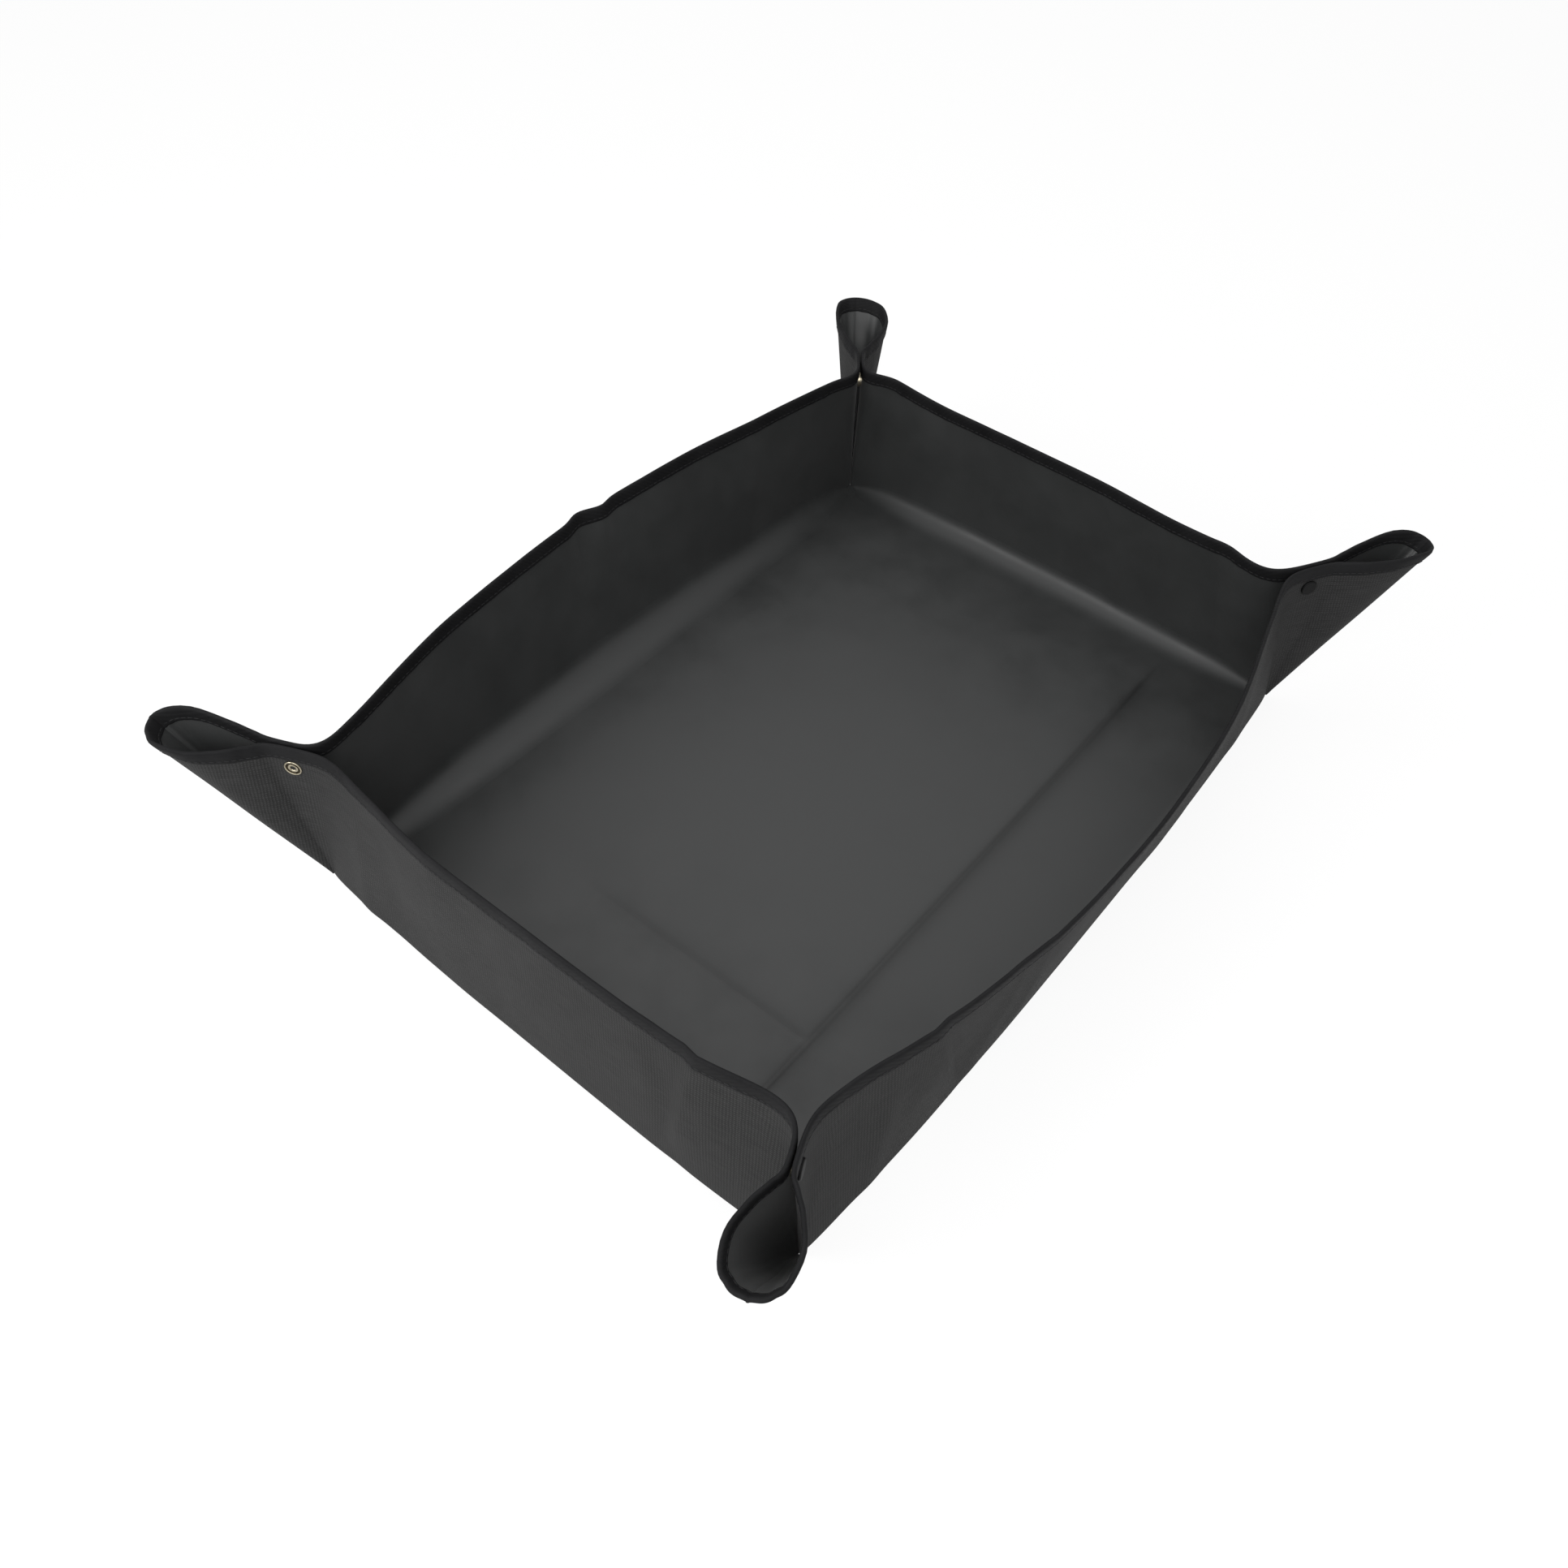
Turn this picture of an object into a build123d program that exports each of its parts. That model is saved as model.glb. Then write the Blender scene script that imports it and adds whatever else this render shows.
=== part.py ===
"""Potting tray: a sheet of coated cloth with a bound edge, whose corners are pinched and held by press studs.

Millimetres. X runs along the long sides, Y along the short sides, Z up.
The origin is the centre of the floor's underside.
"""
import os
from math import acos, cos, radians, sin, sqrt, tan

from build123d import *

os.makedirs("parts", exist_ok=True)

# The sheet
cloth = 0.8             # thickness of the coated cloth
base_length = 520.0     # floor, between the folds of the short walls
base_width = 370.0      # floor, between the folds of the long walls
wall_height = 115.0     # cloth from the floor's fold to the edge
corner_radius = 42.0    # rounded corner of the flat sheet

# The corners
pinch_in_x = 7.0        # how far the pinched edge stands inside the floor's corner
pinch_in_y = 8.5
neck = 1.9              # from the middle of a corner flap to the middle of its cloth
fold_gap = 0.5          # cloth held back on each side of a fold line
base_gap = 0.75         # walls held back from the floor's folds
apex_gap = 9.0          # flaps held back from the floor's corner

# The binding
tape = 0.6              # thickness of the tape
tape_width = 9.5        # reach of the tape on each face
tape_fit = 0.12         # room between the tape and the cloth
tape_gap = 0.95         # tape held back on each side of a fold line

# The press studs
stud_along = 9.0        # from the fold line to the stud, along the flap
stud_down = 15.5        # from the sheet's edge to the stud
seat = 0.05             # room between a metal piece and the cloth
hole_radius = 2.1       # hole in the cloth
cap_radius = 5.3
cap_height = 1.4
post_radius = 1.5
socket_radius = 5.2
socket_height = 1.95
socket_plate = 0.6      # back of the socket, that the post holds
socket_mouth = 3.0      # radius of the socket's cavity
groove_depth = 0.55     # groove that the spring lies in
groove_height = 0.5
spring_wire = 0.4
spring_split = 50.0     # opening of the spring ring, degrees
eyelet_radius = 5.2
eyelet_height = 0.8
tube_radius = 1.95
tube_bore = 1.4
flange_radius = 4.7
flange_height = 0.65
ball_radius = 2.1
ball_waist = 1.7
ball_waist_height = 0.75
ball_height = 0.65
bore_fit = 0.05         # room between a post or tube and its bore

middle = cloth / 2
half_length = base_length / 2
half_width = base_width / 2
tape_inside = middle + tape_fit
tape_outside = tape_inside + tape

# Walls: along X or Y, side of the tray, lip outside the fold at mid-length, dips towards the two ends
walls = {
    "front": ("x", -1, 26.0, -4.0, -4.0),
    "back": ("x", 1, 24.0, -5.0, 0.5),
    "left": ("y", -1, -3.0, -7.0, -5.0),
    "right": ("y", 1, -10.0, -12.0, 5.0),
}
wall_stations = (-1.0, -0.95, -0.89, -0.8, -0.67, -0.5, -0.26, 0.0, 0.26, 0.5, 0.67, 0.8, 0.89, 0.95, 1.0)

# Corners: side in X and Y, heading and lean of the flap's crease, mouth of the half on the long and short wall
corners = {
    "front_left": (-1, -1, 199.5, 28.5, 6.2, 6.6),
    "front_right": (1, -1, -34.0, 34.0, 6.1, 5.2),
    "back_right": (1, 1, 39.0, 30.2, 6.0, 9.0),
    "back_left": (-1, 1, 118.0, 32.5, 3.8, 8.2),
}
# A flap's half from the fold to the crease: share of the way, share of the half mouth
flap_path = (
    (0.0, 0.0), (0.26, 0.0), (0.4, 0.33), (0.57, 0.78),
    (0.74, 1.0), (0.87, 0.92), (0.96, 0.6), (1.0, 0.0),
)


def lip_offset(wall, u):
    """How far the lip stands outside the wall's fold, u from -1 to 1 along the wall."""
    along, side, mid, dip_start, dip_end = walls[wall]
    end = -pinch_in_y if along == "x" else -pinch_in_x
    bow = (mid - end) * max(0.0, 1 - u * u) ** 1.4
    dip = dip_start if u < 0 else dip_end
    return end + bow + dip * 4 * u**6 * (1 - u**6)


def corner_frame(corner):
    """Floor corner, pinch line, way along the flap, way across it, and the angle from pinch to crease."""
    side_x, side_y, heading, lean = corners[corner][:4]
    at = Vector(side_x * half_length, side_y * half_width, middle)
    rise = sqrt(wall_height**2 - max(pinch_in_x, pinch_in_y) ** 2)
    pinch = Vector(-side_x * pinch_in_x, -side_y * pinch_in_y, rise).normalized()
    across = sin(radians(lean))
    crease = Vector(
        across * cos(radians(heading)), across * sin(radians(heading)), cos(radians(lean))
    )
    reach = acos(pinch.dot(crease))
    along = (crease - pinch * pinch.dot(crease)).normalized()
    return at, pinch, along, pinch.cross(along), reach


def flap_side(corner, wall):
    """Which side of the flap's middle the half on this wall lies on."""
    side_x, side_y = corners[corner][:2]
    away = Vector(side_x, 0, 0) if walls[wall][0] == "x" else Vector(0, side_y, 0)
    return -1 if corner_frame(corner)[3].dot(away) > 0 else 1


def edge_distance(turn):
    """From the floor's corner to the sheet's edge, at this angle from the fold line in the flat sheet."""
    if wall_height * tan(turn) <= wall_height - corner_radius:
        return wall_height / cos(turn)
    centre = wall_height - corner_radius
    reach = centre * (cos(turn) + sin(turn))
    return reach + sqrt(reach * reach - 2 * centre * centre + corner_radius**2)


def flap_lines(corner, wall):
    """Lines of a flap's half from the fold to the crease: start, direction, way on, length."""
    at, pinch, along, across, reach = corner_frame(corner)
    side = flap_side(corner, wall)
    apex = at + across * (side * neck)
    mouth = radians(corners[corner][4 if walls[wall][0] == "x" else 5])
    points = [(share * reach, height * mouth) for share, height in flap_path]
    ways = []
    for turn, rise in points:
        level = pinch * cos(turn) + along * sin(turn)
        ways.append((level * cos(rise) + across * (side * sin(rise))).normalized())
    turns = [0.0]
    for one, other in zip(ways, ways[1:]):
        turns.append(turns[-1] + acos(min(1.0, one.dot(other))))
    lines = []
    for index, way in enumerate(ways):
        before = ways[max(index - 1, 0)]
        after = ways[min(index + 1, len(ways) - 1)]
        on = after - before
        on = (on - way * on.dot(way)).normalized()
        length = edge_distance(turns[index] / turns[-1] * radians(45))
        lines.append((apex, way, on, length))
    return lines


def wall_lines(wall):
    """Lines of a wall from its fold to its lip: start, direction, way on, length."""
    along, side = walls[wall][:2]
    ends = []
    for corner, values in corners.items():
        if values[1 if along == "x" else 0] == side:
            at, pinch, way, across, reach = corner_frame(corner)
            apex = at + across * (flap_side(corner, wall) * neck)
            ends.append((apex, apex + pinch * wall_height))
    ends.sort(key=lambda end: end[0].X if along == "x" else end[0].Y)
    out = Vector(0, side, 0) if along == "x" else Vector(side, 0, 0)
    feet = []
    heads = []
    for u in wall_stations:
        share = (u + 1) / 2
        foot = ends[0][0] * (1 - share) + ends[1][0] * share
        head = ends[0][1] * (1 - share) + ends[1][1] * share
        lip = head + out * (lip_offset(wall, u) - lip_offset(wall, 1.0))
        level = Vector(lip.X - foot.X, lip.Y - foot.Y, 0)
        feet.append(foot)
        heads.append(Vector(lip.X, lip.Y, foot.Z + sqrt(wall_height**2 - level.dot(level))))
    lines = []
    for index, foot in enumerate(feet):
        way = (heads[index] - foot).normalized()
        last = len(feet) - 1
        on = (heads[min(index + 1, last)] - heads[max(index - 1, 0)]).normalized()
        on = on + (feet[min(index + 1, last)] - feet[max(index - 1, 0)]).normalized()
        lines.append((foot, way, (on - way * on.dot(way)).normalized(), wall_height))
    return lines


def between(one, other, gap):
    """A line of the wall a gap away from one line towards another."""
    share = gap / (other[0] - one[0]).length
    foot = one[0] + (other[0] - one[0]) * share
    head = (one[0] + one[1] * one[3]) * (1 - share) + (other[0] + other[1] * other[3]) * share
    return foot, (head - foot).normalized(), one[2], (head - foot).length


def wall_cut(wall, gap):
    """Lines of a wall that ends a gap before its two fold lines."""
    lines = wall_lines(wall)
    return [between(lines[0], lines[1], gap), *lines[1:-1], between(lines[-1], lines[-2], gap)]


def flap_cut(corner, wall, gap):
    """Lines of a flap's half that starts a gap after its fold line."""
    lines = flap_lines(corner, wall)
    start, way, on, length = lines[0]
    return [(start + on * gap, way, on, length), *lines[1:]]


# Floor, with rounded edges on the folds
with BuildPart() as floor_panel:
    with BuildSketch():
        Rectangle(base_length + cloth, base_width + cloth)
    extrude(amount=cloth)
    rims = floor_panel.edges().filter_by(Axis.Z, reverse=True)
    fillet(rims, radius=middle * 0.9)
floor_panel.part.label = "floor_panel"
export_step(floor_panel.part, "parts/floor_panel.step")

# Walls and their binding
for wall in walls:
    with BuildPart() as wall_panel:
        for start, way, on, length in wall_cut(wall, fold_gap):
            with BuildSketch(Plane(origin=start, x_dir=way, z_dir=on)):
                with Locations(((base_gap + length) / 2, 0)):
                    Rectangle(length - base_gap, cloth)
        loft(ruled=True)
    wall_panel.part.label = f"{wall}_wall"
    export_step(wall_panel.part, f"parts/{wall}_wall.step")

    with BuildPart() as wall_binding:
        for start, way, on, length in wall_cut(wall, tape_gap):
            with BuildSketch(Plane(origin=start, x_dir=way, z_dir=on)):
                with BuildLine():
                    Polyline(
                        (length - tape_width, tape_outside),
                        (length + tape_fit + tape, tape_outside),
                        (length + tape_fit + tape, -tape_outside),
                        (length - tape_width, -tape_outside),
                        (length - tape_width, -tape_inside),
                        (length + tape_fit, -tape_inside),
                        (length + tape_fit, tape_inside),
                        (length - tape_width, tape_inside),
                        close=True,
                    )
                make_face()
        loft(ruled=True)
    wall_binding.part.label = f"{wall}_wall_binding"
    export_step(wall_binding.part, f"parts/{wall}_wall_binding.step")

# Corner flaps, each of two halves, with their binding and the holes for the press studs
for corner, (side_x, side_y, *_) in corners.items():
    at, pinch, along, across, reach = corner_frame(corner)
    stud_at = at + pinch * (wall_height - stud_down) + along * stud_along
    for wall in ("front" if side_y < 0 else "back", "left" if side_x < 0 else "right"):
        out = across * flap_side(corner, wall)
        name = f"{corner}_flap_{wall}"
        with BuildPart() as flap:
            for start, way, on, length in flap_cut(corner, wall, fold_gap):
                with BuildSketch(Plane(origin=start, x_dir=way, z_dir=on)):
                    with Locations(((apex_gap + length) / 2, 0)):
                        Rectangle(length - apex_gap, cloth)
            loft(ruled=True)
            with BuildSketch(Plane(origin=stud_at, x_dir=pinch, z_dir=out)):
                Circle(hole_radius)
            extrude(amount=2 * neck, mode=Mode.SUBTRACT)
        flap.part.label = name
        export_step(flap.part, f"parts/{name}.step")

        with BuildPart() as flap_binding:
            for start, way, on, length in flap_cut(corner, wall, tape_gap):
                with BuildSketch(Plane(origin=start, x_dir=way, z_dir=on)):
                    with BuildLine():
                        Polyline(
                            (length - tape_width, tape_outside),
                            (length + tape_fit + tape, tape_outside),
                            (length + tape_fit + tape, -tape_outside),
                            (length - tape_width, -tape_outside),
                            (length - tape_width, -tape_inside),
                            (length + tape_fit, -tape_inside),
                            (length + tape_fit, tape_inside),
                            (length - tape_width, tape_inside),
                            close=True,
                        )
                    make_face()
            loft(ruled=True)
        flap_binding.part.label = f"{name}_binding"
        export_step(flap_binding.part, f"parts/{name}_binding.step")

    # Press stud: cap, socket and spring on the long wall's half; eyelet and stud on the short wall's half
    out = across * flap_side(corner, "front" if side_y < 0 else "back")
    face = neck + middle + seat
    inner = neck - middle - seat
    axis = Plane(origin=stud_at, x_dir=pinch, z_dir=out)
    with BuildPart() as stud_cap:
        with BuildSketch(axis.offset(face)):
            Circle(cap_radius)
        extrude(amount=cap_height)
        fillet(stud_cap.faces().sort_by(Axis(stud_at, out))[-1].edges(), radius=cap_height * 0.7)
        with BuildSketch(axis.offset(face)):
            Circle(post_radius)
        extrude(amount=-(face - inner + socket_plate))
    stud_cap.part.label = f"{corner}_stud_cap"
    export_step(stud_cap.part, f"parts/{corner}_stud_cap.step")

    with BuildPart() as stud_socket:
        with BuildSketch(axis.offset(inner)):
            Circle(socket_radius)
        extrude(amount=-socket_height)
        with BuildSketch(axis.offset(inner)):
            Circle(post_radius + bore_fit)
        extrude(amount=-socket_height, mode=Mode.SUBTRACT)
        with BuildSketch(axis.offset(inner - socket_plate)):
            Circle(socket_mouth)
        extrude(amount=-socket_height, mode=Mode.SUBTRACT)
        with BuildSketch(axis.offset(inner - socket_plate - bore_fit)):
            Circle(socket_mouth + groove_depth)
        extrude(amount=-groove_height, mode=Mode.SUBTRACT)
    stud_socket.part.label = f"{corner}_stud_socket"
    export_step(stud_socket.part, f"parts/{corner}_stud_socket.step")

    with BuildPart() as stud_spring:
        ring = socket_mouth + groove_depth - bore_fit - spring_wire / 2
        deep = inner - socket_plate - bore_fit - groove_height / 2
        turned = Plane(origin=stud_at + out * deep, x_dir=pinch, z_dir=out)
        with BuildLine(turned):
            ring_line = CenterArc((0, 0), ring, spring_split / 2, 360 - spring_split)
        with BuildSketch(Plane(origin=ring_line @ 0, z_dir=ring_line % 0)):
            Circle(spring_wire / 2)
        sweep(path=ring_line)
    stud_spring.part.label = f"{corner}_stud_spring"
    export_step(stud_spring.part, f"parts/{corner}_stud_spring.step")

    with BuildPart() as stud_eyelet:
        with BuildSketch(axis.offset(-face)):
            Circle(eyelet_radius)
        extrude(amount=-eyelet_height)
        fillet(stud_eyelet.faces().sort_by(Axis(stud_at, out))[0].edges(), radius=eyelet_height * 0.7)
        with BuildSketch(axis.offset(-face)):
            Circle(tube_radius)
        extrude(amount=face - inner + flange_height / 2)
        with BuildSketch(axis.offset(-face - eyelet_height)):
            Circle(tube_bore)
        extrude(amount=eyelet_height + face - inner + flange_height, mode=Mode.SUBTRACT)
    stud_eyelet.part.label = f"{corner}_stud_eyelet"
    export_step(stud_eyelet.part, f"parts/{corner}_stud_eyelet.step")

    with BuildPart() as stud_ball:
        with BuildSketch(axis.offset(-inner)):
            Circle(flange_radius)
        extrude(amount=flange_height)
        with BuildSketch(axis.offset(-inner)):
            Circle(tube_radius + bore_fit)
        extrude(amount=flange_height / 2 + bore_fit, mode=Mode.SUBTRACT)
        with BuildSketch(axis.offset(-inner + flange_height)):
            Circle(ball_waist)
        extrude(amount=ball_waist_height)
        with BuildSketch(axis.offset(-inner + flange_height + ball_waist_height)):
            Circle(ball_radius)
        extrude(amount=ball_height)
        fillet(stud_ball.faces().sort_by(Axis(stud_at, out))[-1].edges(), radius=ball_height * 0.4)
    stud_ball.part.label = f"{corner}_stud"
    export_step(stud_ball.part, f"parts/{corner}_stud.step")
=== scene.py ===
"""Potting tray of coated cloth: one sheet with a bound edge, its corners pinched by press studs.

Lengths are worked out in millimetres and made in metres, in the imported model's frame.
"""
import math

import bpy
import numpy as np
from mathutils import Matrix


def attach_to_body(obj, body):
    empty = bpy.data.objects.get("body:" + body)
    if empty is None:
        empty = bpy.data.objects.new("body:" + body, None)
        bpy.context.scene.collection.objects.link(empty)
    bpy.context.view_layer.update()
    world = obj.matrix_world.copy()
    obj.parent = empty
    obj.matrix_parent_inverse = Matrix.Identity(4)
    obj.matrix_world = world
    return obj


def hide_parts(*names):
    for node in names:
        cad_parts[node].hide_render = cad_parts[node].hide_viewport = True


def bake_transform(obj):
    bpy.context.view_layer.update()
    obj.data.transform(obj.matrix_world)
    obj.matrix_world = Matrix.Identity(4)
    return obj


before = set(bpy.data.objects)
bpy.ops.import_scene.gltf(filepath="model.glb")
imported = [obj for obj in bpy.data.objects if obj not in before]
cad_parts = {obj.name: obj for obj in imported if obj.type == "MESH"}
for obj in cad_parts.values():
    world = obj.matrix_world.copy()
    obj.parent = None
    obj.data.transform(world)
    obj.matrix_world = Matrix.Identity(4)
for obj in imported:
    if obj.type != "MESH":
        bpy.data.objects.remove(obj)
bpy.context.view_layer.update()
MM = 0.001

# Sizes of the sheet, as in the part's source
CLOTH = 0.8
HALF_CLOTH = CLOTH / 2
HALF_LENGTH, HALF_WIDTH = 260.0, 185.0
WALL_HEIGHT = 115.0
CORNER_RADIUS = 42.0
PINCH_IN_X, PINCH_IN_Y = 7.0, 8.5
TAPE_REACH = 9.5

# Walls: along X or Y, side, lip outside the fold at mid-length, dips towards the two ends
WALLS = {
    "front": ("x", -1, 26.0, -4.0, -4.0),
    "back": ("x", 1, 24.0, -5.0, 0.5),
    "left": ("y", -1, -3.0, -7.0, -5.0),
    "right": ("y", 1, -10.0, -12.0, 5.0),
}
# How full the curve of a lip is along its wall
LIP_FULLNESS = 1.4
# How far the foot of each wall bulges out at mid-length
BULGE = {"front": 7.0, "back": 2.0, "left": 4.5, "right": 2.0}
# How far each wall bellies out, most at a small height above its foot
BELLY = {"front": 0.0, "back": 4.0, "left": 1.25, "right": 3.25}
BELLY_HEIGHT = 16.0

# Reach of the rounded bend between floor and wall: least at the corners, with more added towards
# mid-length, little where the near walls stand up and much at the far ones
BEND_LEAST = 2.0
BEND = {"front": 7.0, "back": 16.0, "left": 5.0, "right": 13.0}
# How far a bend's curve is drawn on from the floor and from the wall, as a share of its reach
BEND_PULL = 0.62

# Soft folds in the walls: place along the wall, width, depth outwards, height where it is deepest, reach
FOLDS = {
    "front": [(-205, 9, 2.2, 55, 45), (-168, 36, 3.2, 90, 60), (-118, 8, 1.4, 60, 40),
              (90, 24, 1.5, 50, 50), (205, 12, 1.5, 60, 50)],
    "back": [(-8, 9, 3.2, 112, 34), (10, 8, -2.6, 108, 40),
             (-150, 22, 1.6, 60, 50), (140, 26, -1.6, 60, 60)],
    "left": [(-100, 9, -1.4, 55, 45), (60, 22, 1.2, 60, 45),
             (148, 9, 1.6, 40, 45), (120, 14, -1.4, 60, 45)],
    "right": [(-140, 10, 1.8, 108, 32), (-100, 45, -7.0, 115, 90),
              (-60, 20, -1.4, 60, 45), (70, 18, 1.4, 60, 45)],
}
FOLD_LEAN = 0.12
# Upright creases, where the wall turns a little: place along the wall, reach to either side, depth
# outwards, lean
KINKS = {
    "front": [(-150, 10, 40, -4.0, -0.33), (-96, 24, 60, 3.0, 0.1), (120, 80, 50, 2.4, 0.1)],
    "back": [(-15, 70, 60, 3.0, 0.1), (150, 60, 60, -2.0, 0.1)],
    "left": [(-113, 40, 9, 4.2, -0.18), (70, 80, 40, 2.4, 0.1)],
    "right": [(-138, 34, 70, 2.6, 0.1), (40, 70, 60, 2.0, 0.1)],
}
# Heights where an upright crease has its place, has its full depth and starts to fade, and the share of
# its depth that is lost at the lip
KINK_PLACE, KINK_FULL, KINK_FADE, KINK_LOSS = 60.0, 50.0, 70.0, 0.5

# Corners: side in X and Y, heading and lean of the flap's crease in degrees, mouth of the half on the long
# wall and of the half on the short wall in degrees; the front right and back left flaps are slimmer than
# in the part's source
CORNERS = {
    "front_left": (-1, -1, 199.5, 28.5, 6.2, 6.6),
    "front_right": (1, -1, -34.0, 34.0, 5.6, 3.4),
    "back_right": (1, 1, 39.0, 30.2, 6.0, 9.0),
    "back_left": (-1, 1, 118.0, 32.5, 2.4, 8.2),
}
# Half the gap of a pinched corner, at the stud and at the floor; it opens from a height over a length
NECK, NECK_FOOT = 1.9, 0.45
NECK_START, NECK_RISE = 8.0, 70.0

# A flap's half from fold to crease: share of the way, share of the half mouth
FLAP_PATH = np.array([(0, 0), (0.26, 0), (0.4, 0.33), (0.57, 0.78),
                      (0.74, 1), (0.87, 0.92), (0.96, 0.6), (1, 0)])
# Rays of a half from fold to crease, and where their cloth starts above the floor's corner
RAYS = 600
FLAP_START = 2.0
# How far a flap's crease bows in, or out where it is negative, where along it, and how far its tip droops
# out; bow and droop are shares of its turn from the pinch line
BOW = {"front_left": (-0.04, 0.5, 0.03), "front_right": (0.02, 0.3, 0.0),
       "back_right": (-0.03, 0.5, 0.03), "back_left": (0.01, 0.66, 0.0)}
BOW_WIDTH = 0.21
# Share of the way from fold to crease where the halves start to close, and half the gap at the crease
CLOSING, CREASE_GAP = 0.75, 0.03
# Cloth that the bend of the crease takes up on each half
CREASE_BEND = 0.8

# The rounded fold from a wall into a flap: start of its strip on the wall, place where it leaves the wall
# at the lip and at the floor, its end on the flap in rays and in millimetres
FOLD = 38.0
FOLD_ROUND, FOLD_SHARP = 32.0, 0.8
FOLD_RAYS = 24
# Where the strip starts to turn with the flap at the floor; at the lip it starts at FOLD_ROUND
# How far the fold's curve is drawn on from the wall and from the flap, as a share of its chord
FOLD_PULL = 0.46

# Creases that folding has left in the floor: along X or Y, place, start, end, height
CREASES = [("x", -113, -238, 255, 1.3), ("y", -164, -113, 70, 0.8)]
CREASE_WIDTH = 2.4
CREASE_FADE_IN, CREASE_FADE_OUT = 6.0, 60.0
# Painted shade along the floor's creases: width of its dark line, share, place and width of the softer
# painted shade beside it, and the height of a crease that gets the full painted shade
SHADE_LINE_WIDTH = 2.0
SHADE, SHADE_ASIDE, SHADE_WIDTH = 0.4, 5.0, 6.0
FULL_CREASE = 1.3
# Low waves in the floor: height, then length and start along X and Y; they and the creases fade at the edge
WAVE_HEIGHT = 0.5
WAVE_X, WAVE_Y = (71.0, 1.3), (57.0, 0.4)
EDGE_RISE = 6.0
# Half sizes of the floor between its bends, and the share of the way to the corners that its edges run
FLOOR_HALF_LENGTH, FLOOR_HALF_WIDTH = 250.0, 178.0
EDGE_SHARE = 0.997

# Grid lines: how far they crowd towards the ends, spacing along walls and bends, count up the cloth, round
# a bend, across a flap's half, on the fold strips and across the floor, and places beside its creases
CROWDING = 0.82
WALL_SPACING, BEND_SPACING = 2.4, 3.2
UP_COUNT, BEND_COUNT, FLAP_COUNT = 40, 14, 42
STRIP_ON_WALL, STRIP_ROUND = 8, 15
FLOOR_COUNTS = (90, 66)
BESIDE_CREASE = np.array([-9, -6, -4, -3, -2, -1, 0, 1, 2, 3, 4, 6, 9])
# Short steps that show which way the cloth runs: up a wall or along an edge, along a wall to its end, and
# in rays of a flap
STEP, STEP_TO_END, STEP_RAYS = 0.5, 0.4, 3


def unit(v):
    """Vectors brought to length 1."""
    v = np.asarray(v, float)
    return v / np.linalg.norm(v, axis=-1, keepdims=True)


def smooth(x):
    """Rise from 0 to 1 that starts and ends level."""
    x = np.clip(x, 0.0, 1.0)
    return x * x * (3 - 2 * x)


def spread(count):
    """Places from -1 to 1, closer together towards the ends."""
    turn = math.pi / 2 * CROWDING
    return np.sin(np.linspace(-1, 1, count) * turn) / math.sin(turn)


def run_length(points):
    """Length along a row of points, from the first to each of them."""
    return np.concatenate([[0], np.cumsum(np.linalg.norm(np.diff(points, axis=0), axis=1))])


def through(points, t):
    """Smooth curve through points, t from 0 at the first to 1 at the last by chord length."""
    points = np.asarray(points, float)
    knots = run_length(points)
    knots /= knots[-1]
    slopes = np.gradient(points, knots, axis=0)
    place = np.clip(np.searchsorted(knots, t, side="right") - 1, 0, len(points) - 2)
    gap = (knots[place + 1] - knots[place])[:, None]
    s = (np.asarray(t) - knots[place])[:, None] / gap
    return ((1 + 2 * s) * (1 - s) ** 2 * points[place] + s * (1 - s) ** 2 * gap * slopes[place]
            + s * s * (3 - 2 * s) * points[place + 1] + s * s * (s - 1) * gap * slopes[place + 1])


def curve(start, one, two, end, t):
    """Curve from start to end that is drawn towards two points on its way."""
    return (1 - t) ** 3 * start + 3 * t * (1 - t) ** 2 * one + 3 * t * t * (1 - t) * two + t**3 * end


# Shape of the corners and their flaps

def corner_frame(corner):
    """Floor corner, pinch line, way along the flap, way across it, angle from pinch to crease."""
    side_x, side_y, heading, lean = CORNERS[corner][:4]
    at = np.array([side_x * HALF_LENGTH, side_y * HALF_WIDTH, HALF_CLOTH])
    rise = math.sqrt(WALL_HEIGHT**2 - max(PINCH_IN_X, PINCH_IN_Y) ** 2)
    pinch = unit([-side_x * PINCH_IN_X, -side_y * PINCH_IN_Y, rise])
    heading, lean = math.radians(heading), math.radians(lean)
    level = math.sin(lean)
    crease = np.array([level * math.cos(heading), level * math.sin(heading), math.cos(lean)])
    along = unit(crease - pinch * (pinch @ crease))
    return at, pinch, along, np.cross(pinch, along), math.acos(pinch @ crease)


def flap_side(corner, wall):
    """Side of the flap's middle, across it, where a wall's half lies."""
    side_x, side_y = CORNERS[corner][:2]
    away = np.array([side_x, 0, 0]) if WALLS[wall][0] == "x" else np.array([0, side_y, 0])
    return -1 if corner_frame(corner)[3] @ away > 0 else 1


def edge_distance(turn):
    """From the floor's corner to the sheet's edge, at an angle from the fold line in the flat sheet."""
    centre = WALL_HEIGHT - CORNER_RADIUS
    reach = centre * (np.cos(turn) + np.sin(turn))
    rounded = reach + np.sqrt(np.maximum(reach * reach - 2 * centre**2 + CORNER_RADIUS**2, 0))
    return np.where(WALL_HEIGHT * np.tan(turn) <= centre, WALL_HEIGHT / np.cos(turn), rounded)


def neck_at(r):
    """Half the gap of a pinched corner, up the fold from the floor: the cloth closes below the stud."""
    return NECK_FOOT + (NECK - NECK_FOOT) * smooth((r - NECK_START) / NECK_RISE)


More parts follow.
